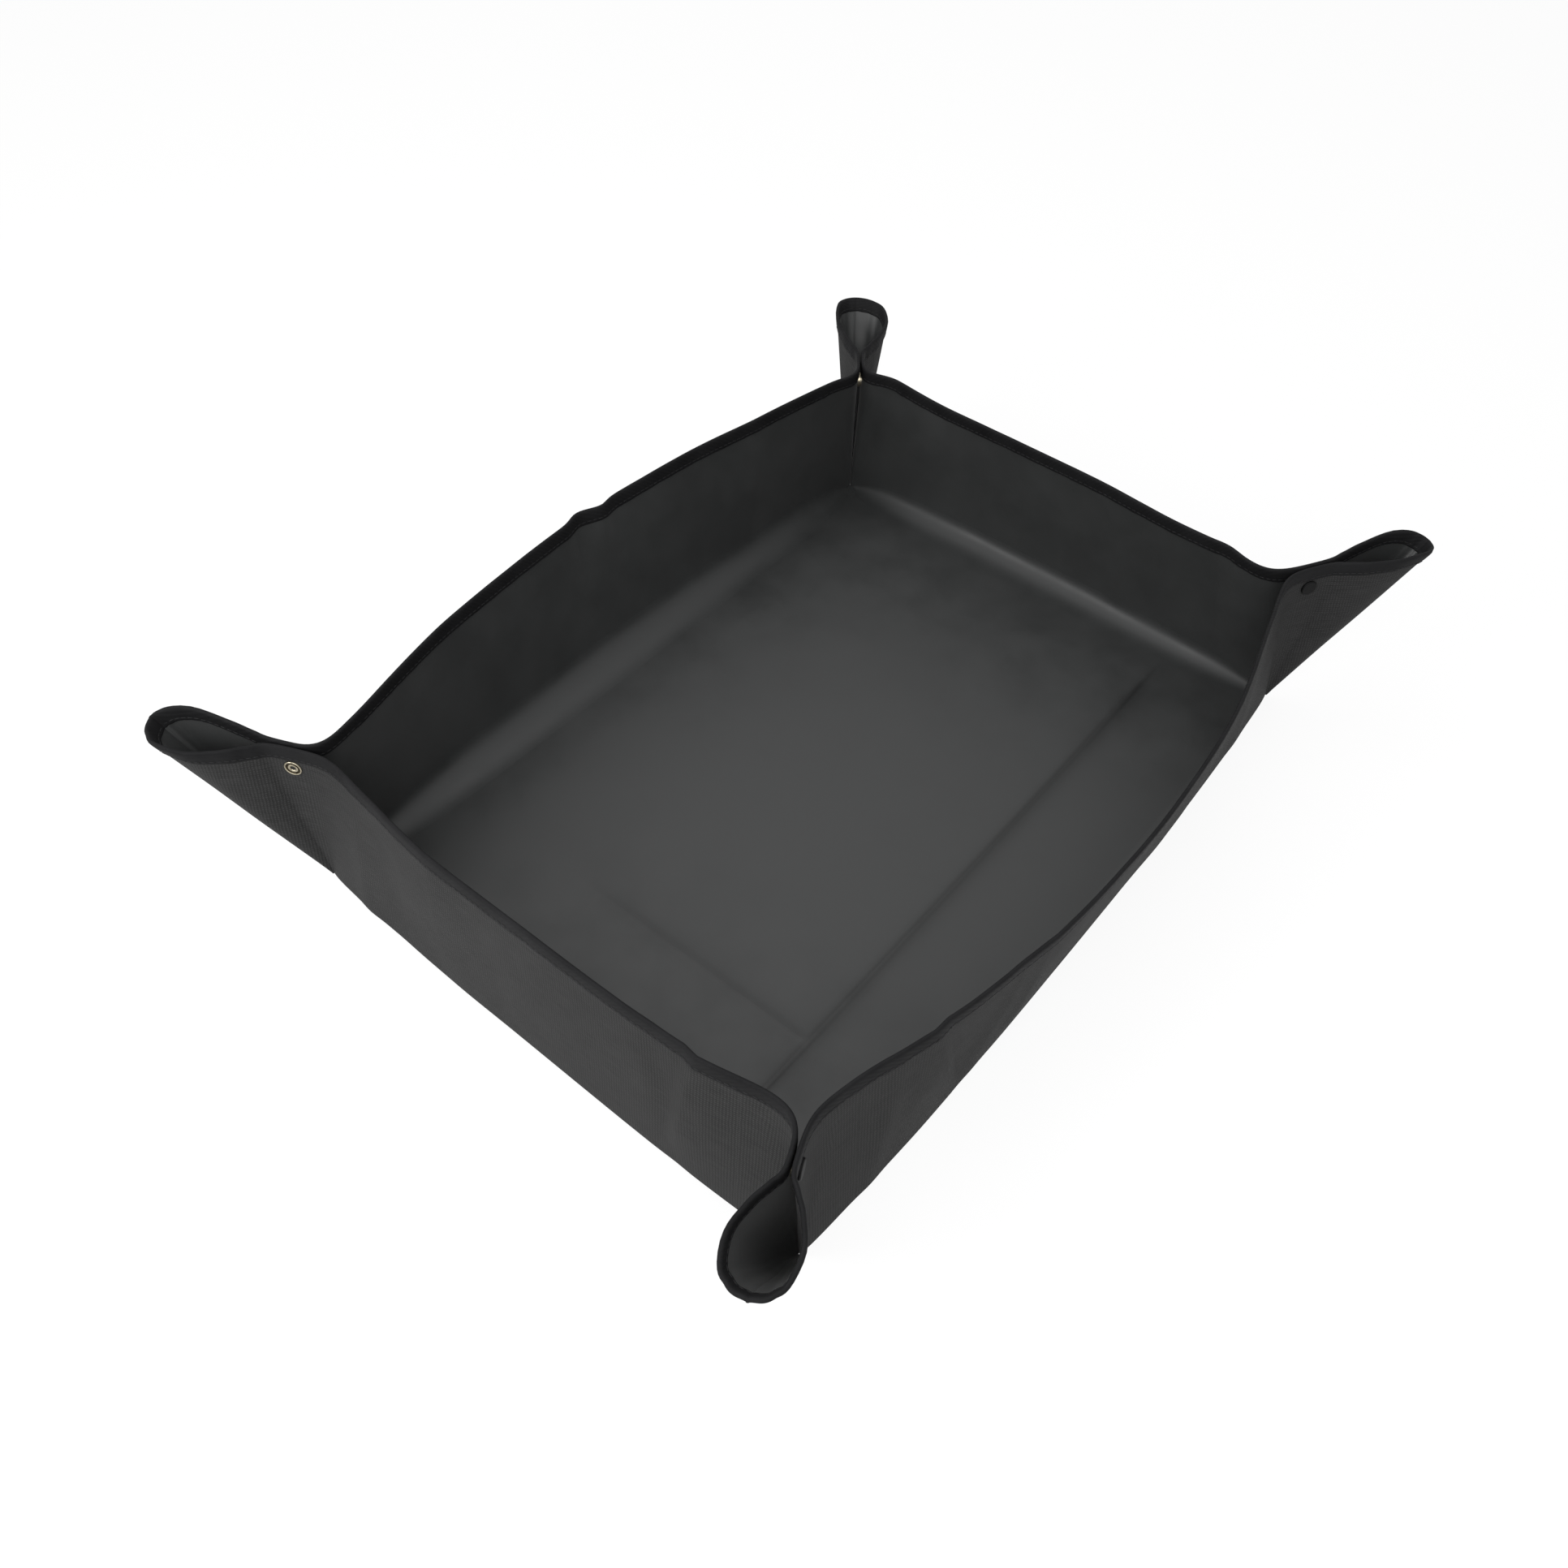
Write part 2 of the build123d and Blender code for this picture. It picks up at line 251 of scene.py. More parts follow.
def ray(corner, wall, turn, rise):
    """Way from the floor's corner, turned from the pinch line along the flap and raised off its middle."""
    _, pinch, along, across, _ = corner_frame(corner)
    turn, rise = np.asarray(turn)[..., None], np.asarray(rise)[..., None]
    level = np.cos(turn) * pinch + np.sin(turn) * along
    return unit(level * np.cos(rise) + flap_side(corner, wall) * np.sin(rise) * across)


def flap_rays(corner, wall):
    """Rays of a flap's half from fold to crease: share of the way, rise, angle in the flat sheet."""
    share, height = through(FLAP_PATH, np.linspace(0, 1, RAYS)).T
    rise = height * math.radians(CORNERS[corner][4 if WALLS[wall][0] == "x" else 5])
    arc = run_length(ray(corner, wall, share * corner_frame(corner)[4], rise))
    return share, rise, arc / arc[-1] * math.pi / 4


def flap_points(corner, wall, picks):
    """Middle of a flap half's cloth along some of its rays, and its places in the flat sheet."""
    at, _, _, across, reach = corner_frame(corner)
    share, rise, angle = (values[picks][:, None] for values in flap_rays(corner, wall))
    edge = edge_distance(angle)
    r = FLAP_START + (edge - FLAP_START) * np.linspace(0, 1, UP_COUNT)
    bow, place, droop = BOW[corner]
    up = r / edge
    turn = share * reach * (1 - bow * np.exp(-(((up - place) / BOW_WIDTH) ** 2)) + droop * up**4)
    way = ray(corner, wall, turn, rise)
    closing = smooth((share - CLOSING) / (1 - CLOSING))
    offset = flap_side(corner, wall) * (neck_at(r) * (1 - closing) + CREASE_GAP * closing)
    flat = np.stack([r * np.sin(angle), r * np.cos(angle)], axis=-1)
    return at + offset[..., None] * across + way * r[..., None], flat


def flap_grid(corner, wall):
    """Middle of a flap half's cloth: rows from fold to crease, columns from the corner to the edge."""
    picks = np.unique(np.round(np.linspace(FOLD_RAYS, RAYS - 1, FLAP_COUNT)).astype(int))
    grid, flat = flap_points(corner, wall, picks)
    last, last_flat = ((rows[-1] + CREASE_BEND * unit(rows[-1] - rows[-2]))[None] for rows in (grid, flat))
    return np.concatenate([grid, last]), np.concatenate([flat, last_flat])


# Shape of the walls, with their bends and the folds at their ends

def half_span(wall):
    """Half of a wall's length."""
    return HALF_LENGTH if WALLS[wall][0] == "x" else HALF_WIDTH


def lip_offset(wall, u):
    """How far a wall's lip is outside its fold, u along it from -1 to 1."""
    along, _, mid, dip_start, dip_end = WALLS[wall]
    end = -PINCH_IN_Y if along == "x" else -PINCH_IN_X
    dip = np.where(u < 0, dip_start, dip_end)
    return end + (mid - end) * (1 - u * u) ** LIP_FULLNESS + dip * 4 * u**6 * (1 - u**6)


def bend_reach(wall, u):
    """Reach of a wall's bend on each side of the fold; it tightens at the corners."""
    return BEND_LEAST + BEND[wall] * (1 - np.abs(u) ** 7)


def wall_ends(wall):
    """Foot, head and way off the flap's middle of a wall's two fold lines, and the way out of the tray."""
    along, side = WALLS[wall][:2]
    ends = []
    for corner, values in CORNERS.items():
        if values[1 if along == "x" else 0] == side:
            at, pinch, _, across, _ = corner_frame(corner)
            across = across * flap_side(corner, wall)
            foot = at + across * NECK
            ends.append((foot, foot + pinch * WALL_HEIGHT, across))
    ends.sort(key=lambda end: end[0][0 if along == "x" else 1])
    return ends, np.array([0, side, 0.0] if along == "x" else [side, 0.0, 0])


def wall_folds(wall, u, up):
    """How far a wall's folds and upright creases stand out."""
    run = u * half_span(wall)
    total = np.zeros(np.broadcast(u, up).shape)
    for place, before, after, depth, lean in KINKS[wall]:
        x = run - place - lean * (up - KINK_PLACE)
        fade = 1 - KINK_LOSS * smooth((up - KINK_FADE) / (WALL_HEIGHT - KINK_FADE))
        height = smooth(up / KINK_FULL) * fade
        total = total + depth * np.clip(1 - np.where(x < 0, -x / before, x / after), 0, 1) * height
    for place, width, depth, high, reach in FOLDS[wall]:
        x = run - place - FOLD_LEAN * (up - high)
        total = total + depth * np.exp(-((x / width) ** 2) - ((up - high) / reach) ** 2)
    return total


def wall_point(wall, u, up):
    """Point of the wall's middle: u along it from -1 to 1, up in millimetres of cloth above the fold.

    The powers of u set how near to the corners each shape of the wall keeps on.
    """
    ends, out = wall_ends(wall)
    share = ((u + 1) / 2)[..., None]
    foot = ends[0][0] * (1 - share) + ends[1][0] * share
    head = ends[0][1] * (1 - share) + ends[1][1] * share
    foot = foot + out * (BULGE[wall] * (1 - u**4))[..., None]
    head = head + out * (lip_offset(wall, u) - lip_offset(wall, np.array(1.0)))[..., None]
    level = np.linalg.norm((head - foot)[..., :2], axis=-1)
    head[..., 2] = foot[..., 2] + np.sqrt(WALL_HEIGHT**2 - level**2)
    v = (up / WALL_HEIGHT)[..., None]
    belly = BELLY[wall] * (1 - u**8) * (up / BELLY_HEIGHT) * np.exp(1 - up / BELLY_HEIGHT)
    fold = wall_folds(wall, u, up) * (1 - u**12)
    closing = NECK - neck_at(up)
    first, last = ((closing * np.clip(end, 0, 1) ** 30)[..., None] for end in (-u, u))
    drawn_in = first * ends[0][2] + last * ends[1][2]
    return foot * (1 - v) + head * v + out * (belly + fold)[..., None] - drawn_in


def wall_grid(wall):
    """Middle of a wall's cloth between its fold strips, from the bend to the lip."""
    count = int(2 * half_span(wall) / WALL_SPACING)
    u = spread(count)[:, None] * (1 - FOLD / half_span(wall))
    low = bend_reach(wall, u)
    up = low + (WALL_HEIGHT - low) * np.linspace(0, 1, UP_COUNT)[None, :]
    along = np.broadcast_to(u, up.shape)
    return wall_point(wall, along, up), np.stack([along * half_span(wall), up], axis=-1)


def floor_edge(wall, u):
    """Edge of the flat floor along a wall, where the bend starts."""
    along, side = WALLS[wall][:2]
    ends, _ = wall_ends(wall)
    share = ((u + 1) / 2)[..., None]
    line = (ends[0][0] * (1 - share) + ends[1][0] * share) * EDGE_SHARE
    inset = bend_reach(wall, u) - BULGE[wall] * (1 - u**4)
    level = np.full(u.shape, HALF_CLOTH)
    if along == "x":
        return np.stack([line[..., 0], side * (HALF_WIDTH - inset), level], axis=-1)
    return np.stack([side * (HALF_LENGTH - inset), line[..., 1], level], axis=-1)


def bend_grid(wall):
    """Rounded bend from the floor's edge to the foot of the wall."""
    u = spread(int(2 * half_span(wall) / BEND_SPACING))
    out = wall_ends(wall)[1]
    start = floor_edge(wall, u)
    low = bend_reach(wall, u)
    end = wall_point(wall, u, low)
    rise = unit(wall_point(wall, u, low + STEP) - end)
    pull = BEND_PULL * low[:, None]
    one, two = start + out * pull, end - rise * pull
    s = np.linspace(0, 1, BEND_COUNT)[None, :]
    grid = curve(*(points[:, None] for points in (start, one, two, end)), s[..., None])
    along, across = np.broadcast_arrays((u * half_span(wall))[:, None], low[:, None] * (2 * s - 1))
    return grid, np.stack([along, across], axis=-1)


def fold_grid(corner, wall):
    """Rounded fold from a wall into a flap's half: rows from wall to flap, rounder towards the lip."""
    side = CORNERS[corner][0 if WALLS[wall][0] == "x" else 1]
    v = np.linspace(0, 1, UP_COUNT)

    def on_wall(off):
        """Points up the wall at distances from its end, and their places in the flat sheet."""
        u = side * (1 - off / half_span(wall))
        low = bend_reach(wall, u)
        up = low + (WALL_HEIGHT - low) * v
        return wall_point(wall, u, up), np.stack([-off, up], axis=-1)

    leave = FOLD_SHARP + (FOLD_ROUND - FOLD_SHARP) * v
    wall_part, wall_flat = on_wall(FOLD + (leave - FOLD) * np.linspace(0, 1, STRIP_ON_WALL)[:, None])
    flap_part, flap_flat = flap_points(corner, wall, np.array([FOLD_RAYS, FOLD_RAYS + STEP_RAYS]))
    first, last = wall_part[-1], flap_part[0]
    pull = FOLD_PULL * np.linalg.norm(last - first, axis=-1)[:, None]
    one = first + pull * unit(on_wall(leave - STEP_TO_END)[0] - first)
    two = last - pull * unit(flap_part[1] - last)
    t = np.linspace(0, 1, STRIP_ROUND + 1)[1:, None, None]
    flat = (1 - t) * wall_flat[-1] + t * flap_flat[0]
    return np.concatenate([wall_part, curve(first, one, two, last, t)]), np.concatenate([wall_flat, flat])


# Shape of the floor

def crease_ends(run, begin, finish):
    """Share of a crease's depth along it: it starts fast and fades slowly."""
    return smooth((run - begin) / CREASE_FADE_IN) * smooth((finish - run) / CREASE_FADE_OUT)


def crease_painted_shade(grid):
    """Painted shade along the floor's creases: a dark line on each, with a softer painted shade to one
    side.
    """
    painted_shade = np.zeros(grid.shape[:2])
    for axis, place, begin, finish, high in CREASES:
        off, run = (grid[..., 1], grid[..., 0]) if axis == "x" else (grid[..., 0], grid[..., 1])
        # a softer painted shade a little to one side of each crease, and a painted dark line on it
        shade = SHADE * np.exp(-np.abs(off - place + SHADE_ASIDE) / SHADE_WIDTH)
        line = np.exp(-np.abs(off - place) / SHADE_LINE_WIDTH) + shade
        painted_shade = np.maximum(painted_shade, crease_ends(run, begin, finish) * high / FULL_CREASE * line)
    return np.clip(painted_shade, 0, 1)


def floor_places(axis, half, count):
    """Places across the floor, closer together at the creases."""
    extra = [(place + BESIDE_CREASE) / half for way, place, *_ in CREASES if way != axis]
    return np.unique(np.round(np.concatenate([spread(count), *extra]), 4))


def floor_grid():
    """Floor between its four edges, with its creases and low waves."""
    p = floor_places("x", FLOOR_HALF_LENGTH, FLOOR_COUNTS[0])[:, None]
    q = floor_places("y", FLOOR_HALF_WIDTH, FLOOR_COUNTS[1])[None, :]
    left, right = floor_edge("left", q[0]), floor_edge("right", q[0])
    front, back = floor_edge("front", p[:, 0]), floor_edge("back", p[:, 0])
    left[0], left[-1], right[0], right[-1] = front[0], back[0], front[-1], back[-1]
    sx, sy = ((p + 1) / 2)[..., None], ((q + 1) / 2)[..., None]
    grid = ((1 - sx) * left[None] + sx * right[None] + (1 - sy) * front[:, None] + sy * back[:, None]
            - (1 - sx) * (1 - sy) * front[0] - sx * (1 - sy) * front[-1]
            - (1 - sx) * sy * back[0] - sx * sy * back[-1])
    x, y = grid[..., 0], grid[..., 1]
    edge = smooth((1 - np.abs(p)) * EDGE_RISE) * smooth((1 - np.abs(q)) * EDGE_RISE)
    for axis, place, begin, finish, high in CREASES:
        off, run = (y, x) if axis == "x" else (x, y)
        ridge = np.exp(-np.abs(off - place) / CREASE_WIDTH)
        grid[..., 2] += edge * crease_ends(run, begin, finish) * high * ridge
    waves = np.sin(x / WAVE_X[0] + WAVE_X[1]) * np.sin(y / WAVE_Y[0] + WAVE_Y[1])
    grid[..., 2] += edge * WAVE_HEIGHT * (1 + waves)
    return grid, grid[..., :2].copy()


# Meshes

def mesh_piece(name, verts, faces, slots, materials, sharp=50, flat=None, painted_shade=None):
    """Piece from points in millimetres; flat is each point's place in the flat sheet."""
    mesh = bpy.data.meshes.new(name)
    mesh.from_pydata([tuple(v) for v in np.asarray(verts) * MM], [], faces)
    for material in materials:
        mesh.materials.append(material)
    mesh.polygons.foreach_set("material_index", slots)
    mesh.polygons.foreach_set("use_smooth", [True] * len(faces))
    mesh.set_sharp_from_angle(angle=math.radians(sharp))
    if flat is not None:
        corners = np.empty(len(mesh.loops), int)
        mesh.loops.foreach_get("vertex_index", corners)
        mesh.uv_layers.new(name="flat_sheet").data.foreach_set("uv", (flat[corners] * MM).ravel())
    # each point's share of painted shade along the floor's creases
    if painted_shade is not None:
        mesh.attributes.new("crease_painted_shade", "FLOAT", "POINT").data.foreach_set("value", painted_shade)
    mesh.update()
    piece = bpy.data.objects.new(name, mesh)
    bpy.context.scene.collection.objects.link(piece)
    return piece


def grid_normals(grid):
    """Directions square to a grid's surface."""
    return unit(np.cross(np.gradient(grid, axis=0), np.gradient(grid, axis=1)))


def band(low, high, count):
    """Faces between two rings of points, each given by its first point."""
    return [(low + k, low + (k + 1) % count, high + (k + 1) % count, high + k) for k in range(count)]


def tube_faces(first, rings, count):
    """Faces of a closed tube of rings of points, from its first point on, with both ends."""
    starts = [first + ring * count for ring in range(rings)]
    faces = [face for low, high in zip(starts, starts[1:]) for face in band(low, high, count)]
    ends = [tuple(range(start, start + count)) for start in (starts[0], starts[-1])]
    return faces + [ends[0][::-1], ends[1]]


def cloth_piece(name, grid, flat, inside, painted_shade=None):
    """Closed sheet of cloth round a grid of its middle; inside is 1 or -1, the coated face's side of it."""
    rows, columns = grid.shape[:2]
    normal = grid_normals(grid) * inside * HALF_CLOTH
    verts = np.concatenate([(grid + normal).reshape(-1, 3), (grid - normal).reshape(-1, 3)])
    under = rows * columns
    at = np.arange(under).reshape(rows, columns)
    quads = np.stack([at[:-1, :-1], at[1:, :-1], at[1:, 1:], at[:-1, 1:]], axis=-1)
    quads = quads.reshape(-1, 4)[:, ::inside]
    border = np.concatenate([at[:, 0], at[-1, 1:], at[-2::-1, -1], at[0, -2:0:-1]])[::inside]
    after = np.roll(border, -1)
    rim = np.stack([after, border, under + border, under + after], axis=-1)
    faces = np.concatenate([quads, under + quads[:, ::-1], rim]).tolist()
    slots = [0] * len(quads) + [1] * (len(quads) + len(rim))
    flat = np.tile(flat.reshape(-1, 2), (2, 1))
    # the painted crease shade is the same on both faces of the sheet
    painted_shade = None if painted_shade is None else np.tile(painted_shade.ravel(), 2)
    return mesh_piece(name, verts, faces, slots, [COATED, WOVEN], flat=flat, painted_shade=painted_shade)


# Upper half of the folded tape's outline: distance in from the sheet's edge, height off the middle of the
# cloth, with a groove where it is sewn
SEAM = TAPE_REACH - 2.0
TAPE_OVER = [(TAPE_REACH, 0.62), (TAPE_REACH - 0.25, 0.98), (TAPE_REACH - 1.2, 1.12), (SEAM, 0.98),
             (TAPE_REACH - 3.2, 1.16), (4.0, 1.25), (1.6, 1.3), (0.4, 1.22), (-0.5, 0.85), (-0.85, 0.35)]
TAPE_SECTION = np.array(TAPE_OVER + [(d, -h) for d, h in TAPE_OVER[::-1]])
# Uneven tape: height, turn per grid row and start of two waves; the inner edge moves with them, and the
# tape swells by a share of them
TAPE_WAVES = ((0.10, 0.9, 0.0), (0.08, 0.37, 1.0))
TAPE_SWELL = 0.10
TAPE_INNER = 5.0
# Columns of a cloth's grid that the tape covers
TAPE_COLUMNS = 3


def tape_piece(name, edge, inward, normal):
    """Tape folded over the cloth's edge."""
    rows = np.arange(len(edge))
    wave = sum(high * np.sin(rows * turn + start) for high, turn, start in TAPE_WAVES)[:, None]
    thick = TAPE_SECTION[:, 1] * (1 + TAPE_SWELL * wave)
    reach = TAPE_SECTION[:, 0] + wave * (TAPE_SECTION[:, 0] > TAPE_INNER)
    verts = edge[:, None] + inward[:, None] * reach[..., None] + normal[:, None] * thick[..., None]
    faces = tube_faces(0, len(edge), len(TAPE_SECTION))
    return mesh_piece(name, verts.reshape(-1, 3), faces, [0] * len(faces), [TAPE])


# Stitches: spacing, room at the tape's ends, height off the middle of the cloth, half width and half height
# of the thread, and the rings of a stitch as place along it and share of the thread's size
STITCH_SPACING = 4.0
STITCH_FIRST, STITCH_LAST = 2.4, 2.0
STITCH_HEIGHT = 1.02
THREAD_WIDTH, THREAD_HEIGHT = 0.34, 0.3
STITCH_RINGS = ((-1.5, 0.35), (-0.9, 1.0), (0.9, 1.0), (1.5, 0.35))
STITCH_SIDES = 6


def stitch_piece(name, edge, inward, normal):
    """Row of stitches on both faces of the tape, 3 mm long and 4 mm apart."""
    run = run_length(edge)

    def at(place, rows):
        return np.array([np.interp(place, run, rows[:, k]) for k in range(3)])

    verts, faces = [], []
    turns = np.linspace(0, 2 * math.pi, STITCH_SIDES, endpoint=False)
    for place in np.arange(STITCH_FIRST, run[-1] - STITCH_LAST, STITCH_SPACING):
        along = unit(at(place + STEP, edge) - at(place - STEP, edge))
        into, off = unit(at(place, inward)), unit(at(place, normal))
        for face in (1, -1):
            centre = at(place, edge) + into * SEAM + off * face * STITCH_HEIGHT
            faces += tube_faces(len(verts), len(STITCH_RINGS), STITCH_SIDES)
            for x, size in STITCH_RINGS:
                for turn in turns:
                    across = into * THREAD_WIDTH * size * math.cos(turn)
                    raised = off * THREAD_HEIGHT * size * math.sin(turn)
                    verts.append(centre + along * x + across + raised)
    return mesh_piece(name, verts, faces, [0] * len(faces), [THREAD], sharp=80)


# Materials

def linear(code):
    """Linear colour of an sRGB hex value."""
    parts = [int(code[i:i + 2], 16) / 255 for i in (1, 3, 5)]
    return (*[c / 12.92 if c <= 0.04045 else ((c + 0.055) / 1.055) ** 2.4 for c in parts], 1.0)


def marks(size):
    """Scale of a noise with marks of about this size in millimetres."""
    return 1 / (size * MM)


def bands(pitch):
    """Scale of a wave with a band every so many millimetres along one axis."""
    return math.pi / 10 / (pitch * MM)


def join(tree, node, links):
    """Links (node, output) to a node's inputs, by name or number."""
    for socket, (source, output) in dict(links).items():
        tree.links.new(source.outputs[output], node.inputs[socket])


def add(tree, kind, settings=(), links=(), ramp=(), **inputs):
    """Adds a node with its settings, links, colour ramp as (place, colour), and socket values."""
    node = tree.nodes.new(kind)
    for key, value in dict(settings).items():
        setattr(node, key, value)
    for key, value in inputs.items():
        node.inputs[key.replace("_", " ")].default_value = value
    for number, (place, code) in enumerate(ramp):
        node.color_ramp.elements[number].position = place
        node.color_ramp.elements[number].color = linear(code)
    join(tree, node, links)
    return node


def material(name, **shader):
    """New material with its shader's values."""
    made = bpy.data.materials.new(name)
    made.use_nodes = True
    tree = made.node_tree
    body = tree.nodes["Principled BSDF"]
    for key, value in shader.items():
        body.inputs[key.replace("_", " ")].default_value = value
    return made, tree, body


# Sockets of a mix node by number: its two values, its two colours, and the colour that comes out
VALUE_A, VALUE_B, COLOUR_A, COLOUR_B, COLOUR_OUT = 2, 3, 6, 7, 2


def coated_inside():
    """Polyurethane coating on woven polyester: smooth, matt, cloudy, fine grain, painted shade in creases.
    """
    made, tree, body = material("polyurethane_coated_polyester", Roughness=0.5, Specular_IOR_Level=0.4,
                                Sheen_Weight=0.09, Sheen_Roughness=0.45)
    where = {"Vector": (add(tree, "ShaderNodeNewGeometry"), "Position")}
    # clouds of about 45 mm and a grain of about 1.1 mm, as coarse as it needs to show
    cloud = add(tree, "ShaderNodeTexNoise", links=where, Scale=marks(45.45), Detail=5.0, Roughness=0.6)
    grain = add(tree, "ShaderNodeTexNoise", links=where, Scale=marks(1.111), Detail=2.0)
    tone = add(tree, "ShaderNodeValToRGB", links={"Fac": (cloud, "Fac")},
               ramp=((0.3, "#242525"), (0.72, "#2b2c2c")))
    # painted shade along the floor's creases: each point's share of it takes the tone towards #0e0f0f
    painted_shade = add(tree, "ShaderNodeAttribute", {"attribute_name": "crease_painted_shade"})
    shaded_tone = add(tree, "ShaderNodeMix", {"data_type": "RGBA"}, {0: (painted_shade, "Fac"), COLOUR_A: (tone, "Color")})
    shaded_tone.inputs[COLOUR_B].default_value = linear("#0e0f0f")
    rough = add(tree, "ShaderNodeMapRange", links={"Value": (cloud, "Fac")},
                From_Min=0.3, From_Max=0.7, To_Min=0.42, To_Max=0.58)
    bump = add(tree, "ShaderNodeBump", links={"Height": (grain, "Fac")}, Strength=0.12, Distance=0.0003)
    join(tree, body, {"Base Color": (shaded_tone, COLOUR_OUT), "Roughness": (rough, "Result"),
                      "Normal": (bump, "Normal")})
    return made


def woven_outside():
    """Plain-woven polyester with thick yarns: fine crossing ribs and a matt surface."""
    made, tree, body = material("plain_woven_polyester", Roughness=0.78, Specular_IOR_Level=0.12)
    where = {"Vector": (add(tree, "ShaderNodeNewGeometry"), "Position")}
    sheet = {"Vector": (add(tree, "ShaderNodeUVMap", {"uv_map": "flat_sheet"}), "UV")}
    # yarns are about 0.6 mm apart; drawn 1.6 and 1.8 mm apart, as coarse as they need to show
    weft = add(tree, "ShaderNodeTexWave", {"bands_direction": "Y"}, sheet,
               Scale=bands(1.6), Distortion=1.2, Detail=2.0)
    warp = add(tree, "ShaderNodeTexWave", {"bands_direction": "X"}, sheet,
               Scale=bands(1.8), Distortion=1.8, Detail=2.0)
    weave = add(tree, "ShaderNodeMath", {"operation": "MULTIPLY"}, {0: (weft, "Fac"), 1: (warp, "Fac")})
    # uneven yarns, marks of about 18 mm drawn out along the weft, and clouds of about 70 mm
    drawn_out = add(tree, "ShaderNodeMapping", links=sheet, Scale=(1.0, 14.0, 1.0))
    slub = add(tree, "ShaderNodeTexNoise", links={"Vector": (drawn_out, "Vector")},
               Scale=marks(18.18), Detail=3.0)
    cloud = add(tree, "ShaderNodeTexNoise", links=where, Scale=marks(71.43), Detail=4.0)
    uneven = add(tree, "ShaderNodeMix", {"data_type": "FLOAT"},
                 {VALUE_A: (slub, "Fac"), VALUE_B: (cloud, "Fac")}, Factor=0.5)
    blend = add(tree, "ShaderNodeMix", {"data_type": "FLOAT"},
                {VALUE_A: (weave, "Value"), VALUE_B: (uneven, "Result")}, Factor=0.68)
    tone = add(tree, "ShaderNodeValToRGB", links={"Fac": (blend, "Result")},
               ramp=((0.25, "#222222"), (0.65, "#363636")))
    bump = add(tree, "ShaderNodeBump", links={"Height": (weave, "Value")}, Strength=0.45, Distance=0.0006)
    join(tree, body, {"Base Color": (tone, "Color"), "Normal": (bump, "Normal")})
    return made


def bias_tape():
    """Black polyester tape, pressed and sewn: matt, with slanting ribs, slightly uneven where it is rubbed.
    """
    made, tree, body = material("black_polyester_tape", Roughness=0.72, Specular_IOR_Level=0.11)
    where = {"Vector": (add(tree, "ShaderNodeNewGeometry"), "Position")}
    # ribs are about 0.4 mm apart; drawn 3.6 mm apart along each axis, which is about 2 mm across the ribs,
    # as coarse as they need to show; slanting bands come at half the rate of straight ones
    ribs = add(tree, "ShaderNodeTexWave", {"wave_type": "BANDS", "bands_direction": "DIAGONAL"}, where,
               Scale=2 * bands(3.6), Distortion=1.0, Detail=1.0)
    # rubbed patches of about 17 mm
    cloud = add(tree, "ShaderNodeTexNoise", links=where, Scale=marks(16.67), Detail=3.0)
    tone = add(tree, "ShaderNodeValToRGB", links={"Fac": (cloud, "Fac")},
               ramp=((0.3, "#121213"), (0.75, "#19191a")))
    bump = add(tree, "ShaderNodeBump", links={"Height": (ribs, "Fac")}, Strength=0.3, Distance=0.0003)
    join(tree, body, {"Base Color": (tone, "Color"), "Normal": (bump, "Normal")})
    return made


def sewing_thread():
    """Bonded polyester thread: black with a dull shine and a fine twist."""
    made, tree, body = material("bonded_polyester_thread", Roughness=0.6, Specular_IOR_Level=0.2)
    where = {"Vector": (add(tree, "ShaderNodeNewGeometry"), "Position")}
    # the twist turns about every 0.7 mm
    twist = add(tree, "ShaderNodeTexNoise", links=where, Scale=marks(0.6667), Detail=1.0)
    tone = add(tree, "ShaderNodeValToRGB", links={"Fac": (twist, "Fac")},
               ramp=((0.0, "#131314"), (1.0, "#1e1e1f")))
    join(tree, body, {"Base Color": (tone, "Color")})
    return made


def painted_cap():
    """Stamped steel with baked black paint: satin, slightly uneven like orange peel."""
    made, tree, body = material("black_painted_steel", Roughness=0.5, Specular_IOR_Level=0.08)
    where = {"Vector": (add(tree, "ShaderNodeNewGeometry"), "Position")}
    # the paint's peel is about 1.4 mm across
    spots = add(tree, "ShaderNodeTexNoise", links=where, Scale=marks(1.4286), Detail=3.0)
    tone = add(tree, "ShaderNodeValToRGB", links={"Fac": (spots, "Fac")},
               ramp=((0.0, "#0b0b0c"), (1.0, "#141414")))
    bump = add(tree, "ShaderNodeBump", links={"Height": (spots, "Fac")}, Strength=0.08, Distance=0.0002)
    join(tree, body, {"Base Color": (tone, "Color"), "Normal": (bump, "Normal")})
    return made


def antique_brass(name, low, high, rough_low, rough_high):
    """Stamped brass, tumbled with a dark finish: warm grey where it is rubbed bare, brown in the low
    places.
    """
    made, tree, body = material(name, Metallic=1.0, Roughness=rough_low)
    where = {"Vector": (add(tree, "ShaderNodeNewGeometry"), "Position")}
    # tarnish in spots of about 2.4 mm
    tarnish = add(tree, "ShaderNodeTexNoise", links=where, Scale=marks(2.381), Detail=4.0)
    tone = add(tree, "ShaderNodeValToRGB", links={"Fac": (tarnish, "Fac")},
               ramp=((0.32, low), (0.62, high)))
    rough = add(tree, "ShaderNodeMapRange", links={"Value": (tarnish, "Fac")},
                To_Min=rough_low, To_Max=rough_high)
    join(tree, body, {"Base Color": (tone, "Color"), "Roughness": (rough, "Result")})
    return made


